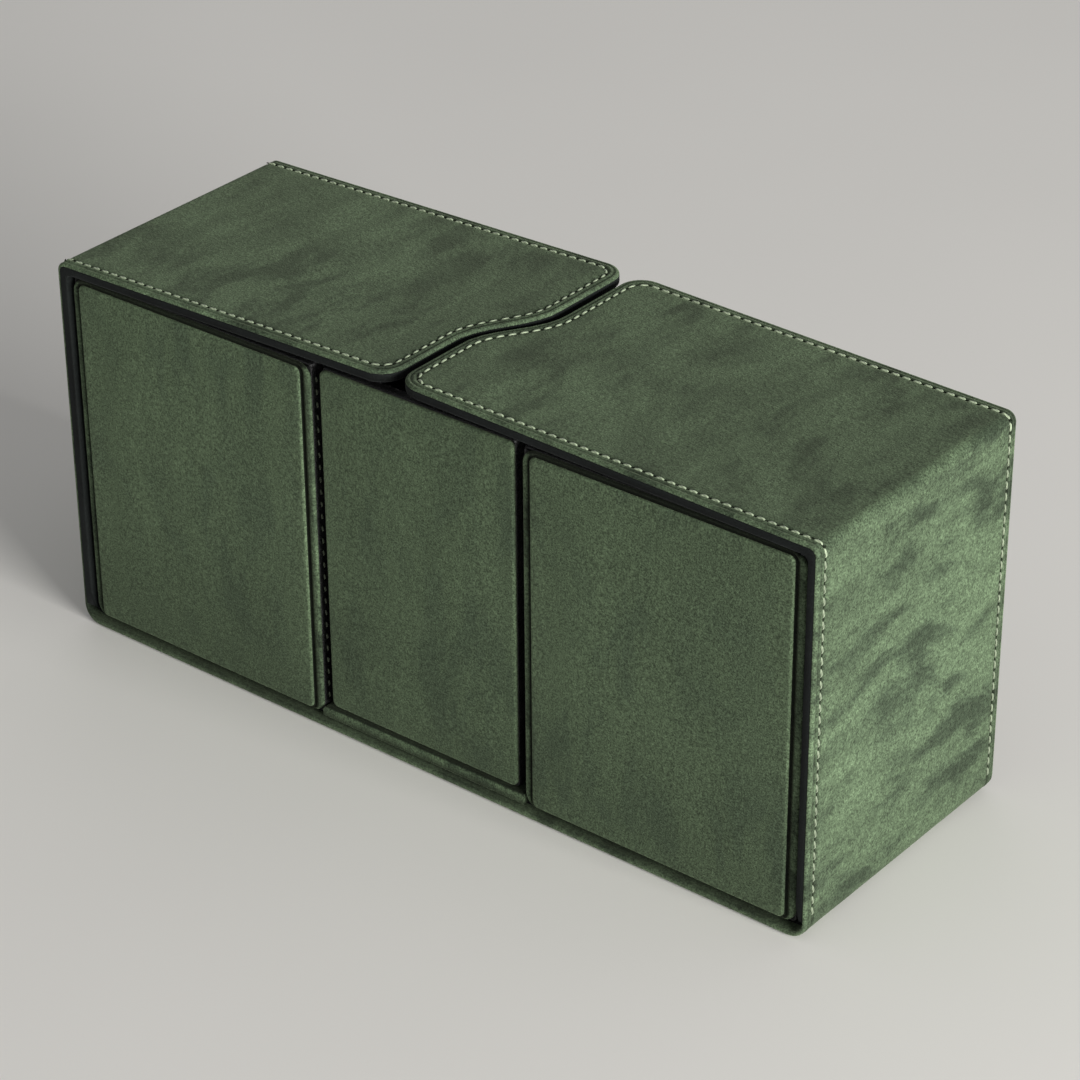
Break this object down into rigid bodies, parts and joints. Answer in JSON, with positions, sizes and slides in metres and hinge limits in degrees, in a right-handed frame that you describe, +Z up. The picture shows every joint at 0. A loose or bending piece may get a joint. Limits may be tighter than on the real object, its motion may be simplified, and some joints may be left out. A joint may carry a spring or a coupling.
{
  "type": "card deck box",
  "caption": "Wide suede-covered card box: two top flaps meet in an S-shaped split over two deck boxes with raised panels and a narrower centre tray.",
  "frame": {"origin": "centre of the box's footprint, on the table", "axes": "+X to the owner's right along the width, +Y to the back, +Z up"},
  "size_m": [0.2504, 0.086, 0.1163],
  "materials": {
    "green_suede": "matte brushed suede, deep green",
    "raised_suede": "matte suede, deep green",
    "charcoal_lining": "smooth charcoal lining, low sheen",
    "black_leatherette": "fine-grained black leatherette",
    "microfibre": "grey microfibre",
    "greyboard": "grey bookbinding board",
    "thread": "sage green sewing thread",
    "magnet": "nickel-plated magnet"
  },
  "bodies": {
    "base": {"base_cover": "green_suede", "bottom_board": "greyboard", "left_wall_board": "greyboard", "right_wall_board": "greyboard", "base_lining": "charcoal_lining", "centre_platform": "green_suede", "base_stitching": "thread", "left_hinge": "green_suede", "right_hinge": "green_suede"},
    "left_flap": {"left_flap_cover": "green_suede", "left_flap_lining": "charcoal_lining", "left_flap_board": "greyboard", "left_flap_magnets": "magnet", "left_flap_stitching": "thread"},
    "left_box": {"left_box_carcass": "greyboard", "left_box_skin": "black_leatherette", "left_box_lining": "microfibre", "left_box_front_layer": "green_suede", "left_box_front_panel": "raised_suede", "left_box_back_layer": "green_suede", "left_box_back_panel": "raised_suede", "left_box_stitching": "thread"},
    "right_flap": {"right_flap_cover": "green_suede", "right_flap_lining": "charcoal_lining", "right_flap_board": "greyboard", "right_flap_magnets": "magnet", "right_flap_stitching": "thread"},
    "right_box": {"right_box_carcass": "greyboard", "right_box_skin": "black_leatherette", "right_box_lining": "microfibre", "right_box_front_layer": "green_suede", "right_box_front_panel": "raised_suede", "right_box_back_layer": "green_suede", "right_box_back_panel": "raised_suede", "right_box_stitching": "thread"},
    "tray": {"tray_carcass": "greyboard", "tray_skin": "black_leatherette", "tray_lining": "microfibre", "tray_front_panel": "raised_suede", "tray_back_panel": "raised_suede", "tray_magnets": "magnet"}
  },
  "joints": [
    {"name": "left_flap_hinge", "type": "hinge", "parent": "base", "child": "left_flap", "pos_m": [-0.125, 0, 0.113], "axis": [0, -1, 0], "range_deg": [0, 175]},
    {"name": "right_flap_hinge", "type": "hinge", "parent": "base", "child": "right_flap", "pos_m": [0.125, 0, 0.113], "axis": [0, 1, 0], "range_deg": [0, 175]},
    {"name": "left_box_slide", "type": "slide", "parent": "base", "child": "left_box", "axis": [0, -1, 0], "range_m": [0, 0.09]},
    {"name": "right_box_slide", "type": "slide", "parent": "base", "child": "right_box", "axis": [0, -1, 0], "range_m": [0, 0.09]},
    {"name": "tray_slide", "type": "slide", "parent": "base", "child": "tray", "axis": [0, -1, 0], "range_m": [0, 0.09]}
  ]
}
